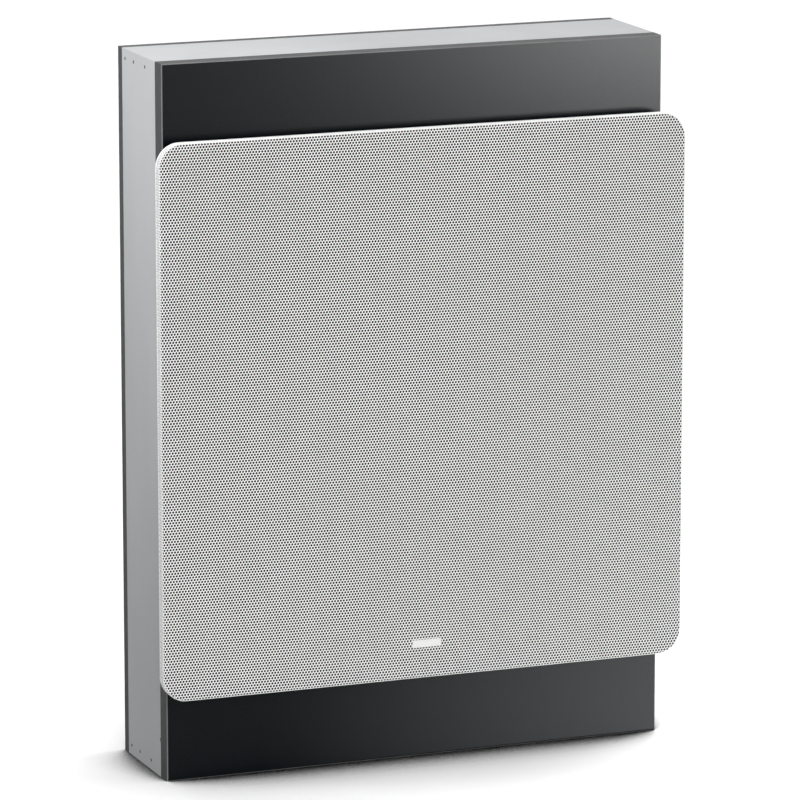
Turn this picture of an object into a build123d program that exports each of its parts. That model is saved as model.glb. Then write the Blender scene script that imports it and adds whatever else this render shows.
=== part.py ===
"""In-wall bass speaker: a slim sealed back box with a wallboard frame, a magnetic perforated
grille, a shallow round driver and a spring-lever terminal cup in the rear panel.

Millimetres. X is to the right, Y runs from the front to the back, Z is up. The origin is the
middle of the box's underside.
"""
import math
import os

from build123d import *

# Back box
box_width = 350.0
box_depth = 86.0
box_height = 476.0
panel_thickness = 12.7
rear_thickness = 8.0
edge_break = 0.6
brace_window_width = 200.0
brace_rail = 12.0
brace_clearance = 8.0

# Panel pins, driven flush through the sides into the ends of the top and bottom panels
pin_radius = 1.0
pin_length = 22.0
pin_depths = (6.0, 23.0, 45.5)

# Small chip in the left side panel, at its joint with the baffle
chip_height = 23.0
chip_length = 6.0
chip_width = 1.4
chip_depth = 1.0

# Grille, formed from one perforated sheet
wallboard_thickness = 12.7
grille_overhang = 9.0
grille_offset = 5.0
grille_depth = 7.8
grille_sheet = 0.8
grille_corner = 16.0
grille_bend = 1.6
hole_pitch = 36.0
hole_radius = 11.0
hole_margin = 5.0
scrim_thickness = 0.4
badge_width = 20.0
badge_height = 5.0
badge_thickness = 0.8
badge_rise = 23.5

# Mounting frame, clamped on both sides of the wallboard
frame_clearance = 1.2
frame_wall = 4.0
neck_inset = 6.0
neck_corner = 10.0
foot_width = 12.0
foot_thickness = 4.0
magnet_bar = (24.0, 6.0, 4.0)
magnet_spacing = 200.0
pocket_clearance = 0.2

# Screws, drawn six-sided
screw_radius = 2.0
screw_head_radius = 3.6
screw_head_height = 2.4
screw_length = 14.0
screw_clearance = 0.2
frame_screw_spacing = 220.0
driver_screw_count = 6
cup_screw_length = 7.0

# Driver: round pieces are drawn with this many flats
driver_sides = 36

# Driver: basket
flange_radius = 131.0
flange_thickness = 3.0
flange_width = 17.0
flange_clearance = 1.0
recess_depth = 5.0
basket_depth = 38.0
basket_slope = 14.0
basket_wall = 2.0
floor_thickness = 11.0
basket_bore_radius = 58.0
ledge_width = 8.0
window_rim = 6.0
spoke_width = 16.0

# Driver: motor
top_plate_thickness = 5.0
ring_magnet_thickness = 14.0
back_plate_thickness = 5.0
plate_seat = 4.0
ring_magnet_radius = 60.0
ring_magnet_bore_radius = 33.0

# Driver: moving parts and their suspension
coil_radius = 25.0
coil_wall = 0.8
coil_gap = 0.8
coil_length = 33.0
cone_radius = 104.0
cone_depth = 19.0
cone_thickness = 1.4
glue_gap = 0.1
soft_gap = 0.3
surround_lip = 6.0
surround_height = 6.0
surround_slope = 4.0
surround_thickness = 1.2
dust_cap_radius = 36.0
dust_cap_top_radius = 14.0
dust_cap_height = 7.0
dust_cap_thickness = 1.0
dust_cap_lip = 4.0
spider_thickness = 1.0

# Driver terminal strip and wiring
strip_width = 26.0
strip_height = 7.0
strip_thickness = 1.5
tab_width = 5.0
tab_thickness = 1.0
tab_length = 7.0
tab_spacing = 14.0
lead_width = 1.4
lead_drop = 14.0
wire_width = 2.4

# Terminal cup in the rear panel
cup_flange_width = 84.0
cup_flange_height = 56.0
cup_flange_thickness = 2.0
cup_flange_corner = 5.0
cup_width = 60.0
cup_height = 38.0
cup_depth = 16.0
cup_wall = 2.0
cup_clearance = 0.3
block_width = 44.0
block_height = 24.0
block_depth = 9.0
lever_spacing = 22.0
lever_width = 12.0
lever_length = 14.0
lever_thickness = 2.4
lever_proud = 1.5
lever_clearance = 0.3
lever_slot_depth = 6.0
wire_hole_radius = 2.0
wire_hole_depth = 7.0
tag_width = 4.0
tag_thickness = 1.0
tag_length = 6.0

# Damping wadding in the lower chamber
wadding_thickness = 15.0
wadding_gap = 0.3

# Positions along Y, from the front to the back
box_front = -box_depth / 2
box_rear = box_depth / 2
side_front = box_front + panel_thickness
side_rear = box_rear - rear_thickness
wall_face = box_front - wallboard_thickness
grille_front = wall_face - grille_depth
grille_inner = grille_front + grille_sheet
frame_front = grille_inner + scrim_thickness
recess_floor = box_front + recess_depth
flange_front = recess_floor - flange_thickness
basket_seat = recess_floor + basket_depth
ledge_front = basket_seat - floor_thickness
magnet_front = basket_seat + top_plate_thickness
yoke_front = magnet_front + ring_magnet_thickness
yoke_rear = yoke_front + back_plate_thickness
cone_edge_front = flange_front + soft_gap
cone_neck_front = cone_edge_front + cone_depth
cup_face = box_rear + cup_flange_thickness
cup_floor = cup_face - cup_depth
cup_back = cup_floor - cup_wall
block_face = cup_floor + block_depth

# Positions along Z
driver_height = box_height / 2 + grille_offset
grille_size = box_width + 2 * grille_overhang
grille_bottom = driver_height - grille_size / 2
brace_offset = flange_radius + brace_clearance
upper_brace_bottom = driver_height + brace_offset
lower_brace_top = driver_height - brace_offset
top_panel_bottom = box_height - panel_thickness
cup_middle = (upper_brace_bottom + panel_thickness + top_panel_bottom) / 2

# Widths that follow from the sizes above
inner_width = box_width - 2 * panel_thickness
inner_depth = side_rear - side_front
grille_inner_size = grille_size - 2 * grille_sheet
frame_size = grille_inner_size - 2 * frame_clearance
neck_size = box_width - 2 * neck_inset
neck_inner = neck_size - 2 * frame_wall
foot_inner = neck_inner - 2 * foot_width
foot_middle = (neck_inner + foot_inner) / 4
flange_middle = (frame_size + neck_inner) / 4
recess_radius = flange_radius + flange_clearance
mouth_radius = flange_radius - flange_width
basket_outer_radius = mouth_radius + basket_wall
cutout_radius = basket_outer_radius + flange_clearance
floor_radius = mouth_radius - basket_slope
floor_outer_radius = floor_radius + basket_wall
surround_radius = mouth_radius + surround_lip
driver_screw_circle = (surround_radius + flange_radius) / 2
spider_radius = basket_bore_radius + ledge_width
coil_outer_radius = coil_radius + coil_wall
cone_neck_radius = coil_outer_radius + glue_gap


def facing_front(y):
    """Plane across the object at depth y: local x is X, local y is Z, and its normal is forward."""
    return Plane.XZ.offset(-y)


def frustum(front_radius, front, rear_radius, rear):
    """Round solid about the driver's axis, drawn with flats, from one radius and depth to another."""
    with BuildPart() as result:
        with BuildSketch(facing_front(front)):
            with Locations((0, driver_height)):
                RegularPolygon(front_radius, driver_sides, major_radius=False)
        extrude(amount=front - rear)
        if front_radius != rear_radius:
            walls = result.faces().filter_by(Axis.Y, reverse=True)
            spread = math.atan2(rear_radius - front_radius, rear - front)
            draft(walls, facing_front(front), math.degrees(spread))
    return result.part


def turned(*stations):
    """Round solid about the driver's axis through (radius, depth) stations, from front to back."""
    with BuildPart() as result:
        for (front_radius, front), (rear_radius, rear) in zip(stations, stations[1:]):
            add(frustum(front_radius, front, rear_radius, rear))
    return result.part


def turned_shell(outer, inner):
    """Round piece about the driver's axis: the inner stations cut out of the outer ones."""
    with BuildPart() as result:
        add(turned(*outer))
        add(turned(*inner), mode=Mode.SUBTRACT)
    return result


def ring(inner_radius, outer_radius, front, rear):
    """Flat ring about the driver's axis."""
    outer = [(outer_radius, front), (outer_radius, rear)]
    return turned_shell(outer, [(inner_radius, front), (inner_radius, rear)])


def side_positions(along, across):
    """Two positions on each side of a square: `along` is the spacing, `across` the half size."""
    half = along / 2
    on_sides = [(sx * across, sz * half) for sx in (-1, 1) for sz in (-1, 1)]
    on_ends = [(sx * half, sz * across) for sx in (-1, 1) for sz in (-1, 1)]
    return on_sides, on_ends


def board(width, depth, height, centre):
    """Plain rectangular board about a centre point."""
    with BuildPart() as result:
        with Locations(centre):
            Box(width, depth, height)
    return result


def screws(centres, head_seat, direction, length):
    """Separate screws: heads bear on the plane y = head_seat, shanks run along direction * Y."""
    with BuildPart() as result:
        with BuildSketch(facing_front(head_seat)):
            with Locations(centres):
                RegularPolygon(screw_radius, 6)
        extrude(amount=-direction * length)
        with BuildSketch(facing_front(head_seat)):
            with Locations(centres):
                RegularPolygon(screw_head_radius, 6)
        extrude(amount=direction * screw_head_height)
    return result


def screw_holes(centres):
    """Clearance holes for the screws, for use in a sketch."""
    with Locations(centres):
        RegularPolygon(screw_radius + screw_clearance, 6, mode=Mode.SUBTRACT)


def square_wire(points, bend, width):
    """Wire of square section along straight runs with one rounded corner at each inner point."""
    with BuildPart() as result:
        with BuildLine() as path:
            FilletPolyline(*points, radius=bend)
        with BuildSketch(Plane(origin=path.line @ 0, z_dir=path.line % 0)):
            Rectangle(width, width)
        sweep()
    return result


def save(piece, name):
    """Label a finished piece and write it as one STEP file."""
    piece.part.label = name
    export_step(piece.part, f"parts/{name}.step")


frame_sides, frame_ends = side_positions(frame_screw_spacing, foot_middle)
frame_screw_centres = [(x, driver_height + z) for x, z in frame_sides + frame_ends]
magnet_sides, magnet_ends = side_positions(magnet_spacing, flange_middle)
driver_screw_places = PolarLocations(driver_screw_circle, driver_screw_count).local_locations
driver_screw_centres = [(p.position.X, driver_height + p.position.Y) for p in driver_screw_places]
cup_screw_x = (cup_width + cup_flange_width) / 4
cup_screw_z = cup_height / 2 - screw_head_radius
cup_screw_centres = [(sx * cup_screw_x, cup_middle + sz * cup_screw_z) for sx in (-1, 1) for sz in (-1, 1)]

# Front baffle: cut-out and seat for the driver, outer front edges lightly broken
with BuildPart() as front_baffle:
    with BuildSketch(facing_front(box_front)):
        with Locations((0, box_height / 2)):
            Rectangle(box_width, box_height)
    extrude(amount=-panel_thickness)
    chamfer(front_baffle.faces().sort_by(Axis.Y)[0].edges(), edge_break)
    add(turned((recess_radius, box_front), (recess_radius, recess_floor)), mode=Mode.SUBTRACT)
    add(turned((cutout_radius, recess_floor), (cutout_radius, side_front)), mode=Mode.SUBTRACT)

# Rear panel with the cut-out for the terminal cup
with BuildPart() as rear_panel:
    with BuildSketch(facing_front(side_rear)):
        with Locations((0, box_height / 2)):
            Rectangle(box_width, box_height)
        with Locations((0, cup_middle)):
            Rectangle(cup_width + 2 * cup_clearance, cup_height + 2 * cup_clearance, mode=Mode.SUBTRACT)
    extrude(amount=-rear_thickness)

# Side panels between baffle and rear panel
side_middle_x = (box_width - panel_thickness) / 2
side_middle_y = (side_front + side_rear) / 2
with BuildPart() as left_side_panel:
    with Locations((-side_middle_x, side_middle_y, box_height / 2)):
        Box(panel_thickness, inner_depth, box_height)
    with BuildSketch(Plane.YZ.offset(-box_width / 2)):
        with BuildLine():
            Polyline(
                (side_front, chip_height),
                (side_front, chip_height + chip_length),
                (side_front + chip_width, chip_height + chip_length / 2),
                close=True,
            )
        make_face()
    extrude(amount=chip_depth, mode=Mode.SUBTRACT)
right_side_middle = (side_middle_x, side_middle_y, box_height / 2)
right_side_panel = board(panel_thickness, inner_depth, box_height, right_side_middle)

# Top and bottom panels between the sides
top_panel_middle = box_height - panel_thickness / 2
top_panel = board(inner_width, inner_depth, panel_thickness, (0, side_middle_y, top_panel_middle))
bottom_panel = board(inner_width, inner_depth, panel_thickness, (0, side_middle_y, panel_thickness / 2))


def window_brace(bottom):
    """Shelf brace across the box, with one window for air and wires."""
    with BuildPart() as result:
        with BuildSketch(Plane.XY.offset(bottom)):
            with Locations((0, side_middle_y)):
                Rectangle(inner_width, inner_depth)
                Rectangle(brace_window_width, inner_depth - 2 * brace_rail, mode=Mode.SUBTRACT)
        extrude(amount=panel_thickness)
    return result


upper_brace = window_brace(upper_brace_bottom)
lower_brace = window_brace(lower_brace_top - panel_thickness)

# Panel pins, three at each end of both side panels
with BuildPart() as panel_pins:
    for side in (-1, 1):
        with BuildSketch(Plane.YZ.offset(side * box_width / 2)):
            for height in (panel_thickness / 2, top_panel_middle):
                with Locations([(side_rear - depth, height) for depth in pin_depths]):
                    RegularPolygon(pin_radius, 6)
        extrude(amount=-side * pin_length)

# Mounting frame: foot on the baffle, neck through the wallboard, flange on the wall face
with BuildPart() as mounting_frame:
    with BuildSketch(facing_front(box_front)):
        with Locations((0, driver_height)):
            RectangleRounded(neck_size, neck_size, neck_corner)
            Rectangle(foot_inner, foot_inner, mode=Mode.SUBTRACT)
        screw_holes(frame_screw_centres)
    extrude(amount=foot_thickness)
    with BuildSketch(facing_front(box_front)):
        with Locations((0, driver_height)):
            RectangleRounded(neck_size, neck_size, neck_corner)
            Rectangle(neck_inner, neck_inner, mode=Mode.SUBTRACT)
    extrude(amount=wallboard_thickness)
    with BuildSketch(facing_front(wall_face)):
        with Locations((0, driver_height)):
            RectangleRounded(frame_size, frame_size, grille_corner - grille_sheet - frame_clearance)
            Rectangle(neck_inner, neck_inner, mode=Mode.SUBTRACT)
    extrude(amount=wall_face - frame_front)
    with BuildSketch(facing_front(frame_front)):
        with Locations((0, driver_height)):
            with Locations(magnet_sides):
                Rectangle(magnet_bar[1] + 2 * pocket_clearance, magnet_bar[0] + 2 * pocket_clearance)
            with Locations(magnet_ends):
                Rectangle(magnet_bar[0] + 2 * pocket_clearance, magnet_bar[1] + 2 * pocket_clearance)
    extrude(amount=-magnet_bar[2], mode=Mode.SUBTRACT)
frame_screws = screws(frame_screw_centres, box_front - foot_thickness, 1, screw_length)

# Bar magnets, flush in the frame's flange
with BuildPart() as grille_magnets:
    with BuildSketch(facing_front(frame_front)):
        with Locations((0, driver_height)):
            with Locations(magnet_sides):
                Rectangle(magnet_bar[1], magnet_bar[0])
            with Locations(magnet_ends):
                Rectangle(magnet_bar[0], magnet_bar[1])
    extrude(amount=-magnet_bar[2])

# Grille: drawn pan with a turned-back skirt and a staggered perforation
hole_field = grille_inner_size - 2 * hole_margin
hole_columns = int((hole_field - 2 * hole_radius) / hole_pitch + 0.5)
hole_row_step = hole_pitch * 3**0.5 / 2
hole_rows = int((hole_field - 2 * hole_radius) / hole_row_step) + 1
with BuildPart() as grille:
    with BuildSketch(facing_front(wall_face)):
        with Locations((0, driver_height)):
            RectangleRounded(grille_size, grille_size, grille_corner)
    extrude(amount=grille_depth)
    fillet(grille.faces().sort_by(Axis.Y)[0].edges(), grille_bend)
    with BuildSketch(facing_front(wall_face)):
        with Locations((0, driver_height)):
            RectangleRounded(grille_inner_size, grille_inner_size, grille_corner - grille_sheet)
    extrude(amount=grille_depth - grille_sheet, mode=Mode.SUBTRACT)
    with BuildSketch(facing_front(grille_front)):
        for row in range(hole_rows):
            row_z = driver_height + (row - (hole_rows - 1) / 2) * hole_row_step
            row_columns = hole_columns + 1 - row % 2
            for column in range(row_columns):
                with Locations(((column - (row_columns - 1) / 2) * hole_pitch, row_z)):
                    RegularPolygon(hole_radius, 6, rotation=30)
    extrude(amount=-grille_sheet, mode=Mode.SUBTRACT)

# Black cloth glued behind the perforation
with BuildPart() as grille_scrim:
    with BuildSketch(facing_front(grille_inner)):
        with Locations((0, driver_height)):
            RectangleRounded(frame_size, frame_size, grille_corner - grille_sheet - frame_clearance)
    extrude(amount=-scrim_thickness)

# Bare plate on the grille's face
with BuildPart() as grille_badge:
    with BuildSketch(facing_front(grille_front)):
        with Locations((0, grille_bottom + badge_rise)):
            Rectangle(badge_width, badge_height)
    extrude(amount=badge_thickness)

# Basket: flange in the baffle's recess, sloping wall, spoked floor with the spider's ledge
with BuildPart() as driver_basket:
    add(turned((flange_radius, flange_front), (flange_radius, recess_floor)))
    add(turned((basket_outer_radius, recess_floor), (floor_outer_radius, basket_seat)))
    add(turned((mouth_radius, flange_front), (floor_radius, ledge_front)), mode=Mode.SUBTRACT)
    add(turned((basket_bore_radius, ledge_front), (basket_bore_radius, basket_seat)), mode=Mode.SUBTRACT)
    with BuildSketch(facing_front(basket_seat)):
        with Locations((0, driver_height)):
            RegularPolygon(floor_radius - window_rim, driver_sides, major_radius=False)
            RegularPolygon(spider_radius + basket_wall, driver_sides, major_radius=False, mode=Mode.SUBTRACT)
            with PolarLocations(0, 3):
                Rectangle(2 * floor_radius, spoke_width, mode=Mode.SUBTRACT)
    extrude(amount=floor_thickness, mode=Mode.SUBTRACT)
    with BuildSketch(facing_front(recess_floor)):
        with Locations(driver_screw_centres):
            RegularPolygon(screw_radius + screw_clearance, 6)
    extrude(amount=flange_thickness, mode=Mode.SUBTRACT)
driver_screws = screws(driver_screw_centres, flange_front, 1, screw_length - flange_thickness)

# Motor: top plate under the basket's floor, ring magnet, and a yoke with the pole
top_plate = ring(coil_outer_radius + coil_gap, basket_bore_radius + plate_seat, basket_seat, magnet_front)
ring_magnet = ring(ring_magnet_bore_radius, ring_magnet_radius, magnet_front, yoke_front)
pole_radius = coil_radius - coil_gap
with BuildPart() as yoke:
    add(turned((pole_radius, basket_seat), (pole_radius, yoke_front)))
    add(turned((ring_magnet_radius, yoke_front), (ring_magnet_radius, yoke_rear)))

# Moving parts: cone, coil and dust cap
cone_edge_rear = cone_edge_front + cone_thickness
cone_neck_rear = cone_neck_front + cone_thickness
driver_cone = turned_shell(
    [(cone_radius, cone_edge_front), (cone_radius, cone_edge_rear), (cone_neck_radius, cone_neck_rear)],
    [(cone_radius, cone_edge_front), (cone_neck_radius, cone_neck_front), (cone_neck_radius, cone_neck_rear)],
)
voice_coil = ring(coil_radius, coil_outer_radius, cone_neck_front, cone_neck_front + coil_length)
cone_slope = cone_depth / (cone_radius - cone_neck_radius)
cap_seat = cone_edge_front + (cone_radius - dust_cap_radius) * cone_slope - glue_gap
cap_top = cap_seat - dust_cap_height
dust_cap = turned_shell(
    [(dust_cap_top_radius, cap_top), (dust_cap_radius, cap_seat)],
    [(dust_cap_top_radius, cap_top + dust_cap_thickness), (dust_cap_radius - dust_cap_lip, cap_seat)],
)

# Suspension: hollow surround on the flange's face, spider on the floor's ledge
surround_inner_radius = cone_radius - surround_slope
surround_top = flange_front - surround_height
roof_outer_radius = surround_radius - 2 * surround_slope
roof_inner_radius = surround_inner_radius + surround_slope
hollow_top = surround_top + surround_thickness
surround_roll = turned_shell(
    [(roof_outer_radius, surround_top), (surround_radius, flange_front)],
    [(roof_inner_radius, surround_top), (surround_inner_radius, flange_front)],
)
surround_hollow = turned_shell(
    [(roof_outer_radius - surround_thickness, hollow_top), (mouth_radius, flange_front)],
    [(roof_inner_radius + surround_thickness, hollow_top), (cone_radius, flange_front)],
)
with BuildPart() as surround:
    add(surround_roll.part)
    add(surround_hollow.part, mode=Mode.SUBTRACT)
spider = ring(coil_outer_radius + soft_gap, spider_radius, ledge_front - spider_thickness, ledge_front)

# Terminal strip on the basket's rear rim, with two solder tabs
strip_middle = driver_height + floor_outer_radius - strip_height / 2 - basket_wall
with BuildPart() as driver_terminal:
    with BuildSketch(facing_front(basket_seat)):
        with Locations((0, strip_middle)):
            Rectangle(strip_width, strip_height)
    extrude(amount=-strip_thickness)
    with BuildSketch(facing_front(basket_seat + strip_thickness)):
        with Locations((-tab_spacing / 2, strip_middle), (tab_spacing / 2, strip_middle)):
            Rectangle(tab_width, tab_thickness)
    extrude(amount=-tab_length)

# Lead-out wires from the strip, through the window, to the back of the cone
lead_start = strip_middle - strip_height / 2 - soft_gap
lead_end_radius = spider_radius + basket_wall
lead_cone_depth = cone_edge_front + cone_thickness + (cone_radius - lead_end_radius) * cone_slope


def lead(x):
    """One lead: back from the strip's edge in a short hook, then forward to the cone."""
    start = (x, basket_seat + strip_thickness / 2, lead_start)
    corner = (x, basket_seat + strip_thickness / 2, lead_start - lead_drop)
    end = (x, lead_cone_depth + soft_gap, driver_height + lead_end_radius)
    return square_wire([start, corner, end], lead_width * 2, lead_width)


with BuildPart() as tinsel_leads:
    for x in (-tab_spacing / 2, tab_spacing / 2):
        add(lead(x).part)

# Terminal cup through the rear panel, with two solder tags on its back
with BuildPart() as terminal_cup:
    with BuildSketch(facing_front(box_rear)):
        with Locations((0, cup_middle)):
            RectangleRounded(cup_flange_width, cup_flange_height, cup_flange_corner)
        screw_holes(cup_screw_centres)
    extrude(amount=-cup_flange_thickness)
    with BuildSketch(facing_front(cup_back)):
        with Locations((0, cup_middle)):
            Rectangle(cup_width, cup_height)
    extrude(amount=cup_back - box_rear)
    with BuildSketch(facing_front(cup_floor)):
        with Locations((0, cup_middle)):
            Rectangle(cup_width - 2 * cup_wall, cup_height - 2 * cup_wall)
    extrude(amount=-cup_depth, mode=Mode.SUBTRACT)
    with BuildSketch(facing_front(cup_back)):
        with Locations((-tab_spacing / 2, cup_middle), (tab_spacing / 2, cup_middle)):
            Rectangle(tag_width, tag_thickness)
    extrude(amount=tag_length)
cup_screws = screws(cup_screw_centres, cup_face, -1, cup_screw_length)

# Terminal block on the cup's floor: two lever slots and two wire holes
lever_pivot_y = block_face + lever_proud - lever_thickness / 2
lever_pivot_z = cup_middle - lever_thickness
lever_top = lever_pivot_z + lever_length
slot_bottom = lever_pivot_z - lever_thickness / 2 - lever_clearance
block_bottom = cup_middle - block_height / 2
block_top = cup_middle + block_height / 2
lever_centres = (-lever_spacing / 2, lever_spacing / 2)
wire_hole_height = (block_bottom + slot_bottom) / 2
with BuildPart() as terminal_block:
    with BuildSketch(facing_front(cup_floor)):
        with Locations((0, cup_middle)):
            Rectangle(block_width, block_height)
    extrude(amount=-block_depth)
    with BuildSketch(facing_front(block_face)):
        with Locations([(x, (slot_bottom + block_top) / 2) for x in lever_centres]):
            Rectangle(lever_width + 2 * lever_clearance, block_top - slot_bottom)
    extrude(amount=lever_slot_depth, mode=Mode.SUBTRACT)
    with BuildSketch(facing_front(block_face)):
        with Locations([(x, wire_hole_height) for x in lever_centres]):
            RegularPolygon(wire_hole_radius, 6)
    extrude(amount=wire_hole_depth, mode=Mode.SUBTRACT)


def lever(x):
    """Push lever with a half-round pivot end, resting a little proud of the block."""
    half = lever_thickness / 2
    with BuildPart() as result:
        with BuildSketch(Plane.YZ.offset(x - lever_width / 2)):
            with BuildLine():
                Polyline(
                    (lever_pivot_y - half, lever_pivot_z),
                    (lever_pivot_y - half, lever_top),
                    (lever_pivot_y + half, lever_top),
                    (lever_pivot_y + half, lever_pivot_z),
                )
                ThreePointArc(
                    (lever_pivot_y + half, lever_pivot_z),
                    (lever_pivot_y, lever_pivot_z - half),
                    (lever_pivot_y - half, lever_pivot_z),
                )
            make_face()
        extrude(amount=lever_width)
    return result


lever_red = lever(lever_centres[0])
lever_black = lever(lever_centres[1])

# Inner wires from the driver's tabs, through the upper brace, to the cup's tags
tab_middle_y = basket_seat + strip_thickness + tab_length / 2
tag_middle_y = cup_back - tag_length / 2


def inner_wire(x):
    """One wire of square section, soldered to the top of a tab and to the underside of a tag."""
    start = (x, tab_middle_y, strip_middle + tab_thickness / 2)
    corner = (x, tab_middle_y, upper_brace_bottom + panel_thickness)
    end = (x, tag_middle_y, cup_middle - tag_thickness / 2 - wire_width / 2)
    return square_wire([start, corner, end], 2 * wire_width, wire_width)


wire_red = inner_wire(-tab_spacing / 2)
wire_black = inner_wire(tab_spacing / 2)

# Wadding on the rear panel, in the chamber below the lower brace
wadding_height = lower_brace_top - 2 * panel_thickness - 2 * wadding_gap
damping_wadding = board(
    inner_width - 2 * wadding_gap,
    wadding_thickness,
    wadding_height,
    (0, side_rear - wadding_thickness / 2, panel_thickness + wadding_gap + wadding_height / 2),
)

os.makedirs("parts", exist_ok=True)
pieces = {
    "front_baffle": front_baffle,
    "rear_panel": rear_panel,
    "left_side_panel": left_side_panel,
    "right_side_panel": right_side_panel,
    "top_panel": top_panel,
    "bottom_panel": bottom_panel,
    "upper_brace": upper_brace,
    "lower_brace": lower_brace,
    "panel_pins": panel_pins,
    "mounting_frame": mounting_frame,
    "frame_screws": frame_screws,
    "grille_magnets": grille_magnets,
    "grille": grille,
    "grille_scrim": grille_scrim,
    "grille_badge": grille_badge,
    "driver_basket": driver_basket,
    "driver_screws": driver_screws,
    "driver_surround": surround,
    "driver_cone": driver_cone,
    "dust_cap": dust_cap,
    "spider": spider,
    "voice_coil": voice_coil,
    "top_plate": top_plate,
    "ring_magnet": ring_magnet,
    "yoke": yoke,
    "driver_terminal": driver_terminal,
    "tinsel_leads": tinsel_leads,
    "terminal_cup": terminal_cup,
    "cup_screws": cup_screws,
    "terminal_block": terminal_block,
    "lever_red": lever_red,
    "lever_black": lever_black,
    "wire_red": wire_red,
    "wire_black": wire_black,
    "damping_wadding": damping_wadding,
}
for piece_name, piece in pieces.items():
    save(piece, piece_name)
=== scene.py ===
import math

import bmesh
import bpy
import numpy as np
from mathutils import Matrix, Vector, noise
from mathutils.geometry import delaunay_2d_cdt


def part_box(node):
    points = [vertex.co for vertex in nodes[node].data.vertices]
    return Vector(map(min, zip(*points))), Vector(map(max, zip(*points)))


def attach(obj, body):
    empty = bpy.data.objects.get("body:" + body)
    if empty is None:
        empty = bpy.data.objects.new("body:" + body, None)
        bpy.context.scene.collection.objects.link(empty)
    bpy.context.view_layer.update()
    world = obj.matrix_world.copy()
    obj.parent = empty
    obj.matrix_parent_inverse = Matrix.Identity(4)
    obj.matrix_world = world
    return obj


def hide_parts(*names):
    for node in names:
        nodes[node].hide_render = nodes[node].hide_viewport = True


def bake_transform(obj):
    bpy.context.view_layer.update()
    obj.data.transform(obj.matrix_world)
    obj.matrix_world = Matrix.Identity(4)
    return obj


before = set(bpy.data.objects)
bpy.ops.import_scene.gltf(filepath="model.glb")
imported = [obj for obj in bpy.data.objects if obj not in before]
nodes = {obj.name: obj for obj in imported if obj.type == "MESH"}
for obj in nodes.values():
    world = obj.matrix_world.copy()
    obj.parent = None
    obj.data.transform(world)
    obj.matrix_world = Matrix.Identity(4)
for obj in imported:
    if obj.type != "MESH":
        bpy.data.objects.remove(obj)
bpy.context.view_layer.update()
scene = bpy.context.scene
scene.view_settings.view_transform = "Standard"

MM = 0.001

# Grille sheet, in millimetres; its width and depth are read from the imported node
SHEET = 0.35
BEND = 0.8
CORNER = 16.0
PITCH = 2.052
HOLE = 0.92
CLOTH_GAP = 0.12
RIM = 1.35
RIM_STEP = 1.4
CLOTH_STEP = 3.0
BANDS = 5

# Cup screws, in millimetres: head, shank, point and cross recess
SCREW_HEAD = 3.6
SCREW_RISE = 2.4
SCREW_SHANK = 1.9
SCREW_POINT = 1.5
SCREW_TIP = 0.2
RECESS_HALF = 0.5
RECESS_REACH = 2.3
RECESS_DEPTH = 1.3
RECESS_SIDE = 0.15
RECESS_END = 0.3

# Panel pins, in millimetres: depths from the side panels' rear edge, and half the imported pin's width
PIN_DEPTHS = (6.0, 23.0, 45.5)
PIN_REACH = 0.866

# Panel pins, in millimetres: the crown's rise, and the radii and rises of the head and shank
PIN_CROWN = 0.15
PIN_HEAD = ((0.45, 0.14), (0.85, 0.1), (1.15, 0.0), (1.15, -0.35))
PIN_SHANK = ((0.8, -0.5), (0.8, -20.0), (0.05, -22.0))

# Lever ridges and polarity marks, in millimetres: runs and scales of their tapered ends, half sizes and rises
BAR_TAPER = ((0.0, 0.55), (0.25, 0.92), (0.6, 1.0))
RIDGE_HALF = 4.6
RIDGE_GIRTH = 0.4
RIDGE_DROPS = (1.8, 3.4, 5.0)
MARK_HALF = 2.4
MARK_GIRTH = 0.45
MARK_RISE = 0.3
MARK_UP = 5.0

# Rubber surround, in millimetres: inset, lips, thickness, gap at the flange, and the sectors it is made of
SURROUND_EDGE = 0.6
SURROUND_LIP = 6.0
SURROUND_FOLD = 3.0
CONE_LIP = 4.0
RUBBER = 1.0
GLUE = 0.05
SECTORS = 24
SECTOR_GAP = math.radians(0.01)

# Lead-out wires, in millimetres: half their spacing, radius, groove's share of it, route in depth and height
LEAD_SPACING = 7.0
LEAD_RADIUS = 0.7
LEAD_GROOVE = 0.12
LEAD_ROUTE = ((0.75, 335.7), (0.75, 318.0), (-30.24, 311.0))
STRANDS = 3
TWISTS = 9

# Wadding: cuts per edge, where its soft edge begins, share drawn in, and the size and depth of its lumps
BATT_CUTS = 20
BATT_EDGE = 0.8
BATT_DRAW = np.array((0.012, 0.0, 0.012))
BATT_BROAD = 26.0
BATT_FINE = 7.0
BATT_ROUND = 3.2
BATT_DENT = 1.8


class Graph:
    """Node tree of a material, a lamp or the world."""

    def __init__(self, tree):
        self.tree = tree

    def node(self, kind, **settings):
        made = self.tree.nodes.new(kind)
        for name, value in settings.items():
            setattr(made, name, value)
        return made

    def feed(self, socket, value):
        """Link a socket to another one, or give it a constant."""
        if isinstance(value, bpy.types.NodeSocket):
            self.tree.links.new(value, socket)
        else:
            socket.default_value = value

    def ramp(self, value, low, high, start=0.3, end=0.7):
        """Map the span from start to end onto the span from low to high."""
        made = self.node("ShaderNodeMapRange")
        self.feed(made.inputs["Value"], value)
        for name, number in (("From Min", start), ("From Max", end), ("To Min", low), ("To Max", high)):
            made.inputs[name].default_value = number
        return made.outputs["Result"]

    def blend(self, factor, first, second):
        made = self.node("ShaderNodeMix", data_type="RGBA")
        self.feed(made.inputs["Factor"], factor)
        self.feed(made.inputs["A"], first)
        self.feed(made.inputs["B"], second)
        return made.outputs["Result"]

    def combine(self, operation, *values):
        made = self.node("ShaderNodeMath", operation=operation)
        for socket, value in zip(made.inputs, values):
            self.feed(socket, value)
        return made.outputs[0]


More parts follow.
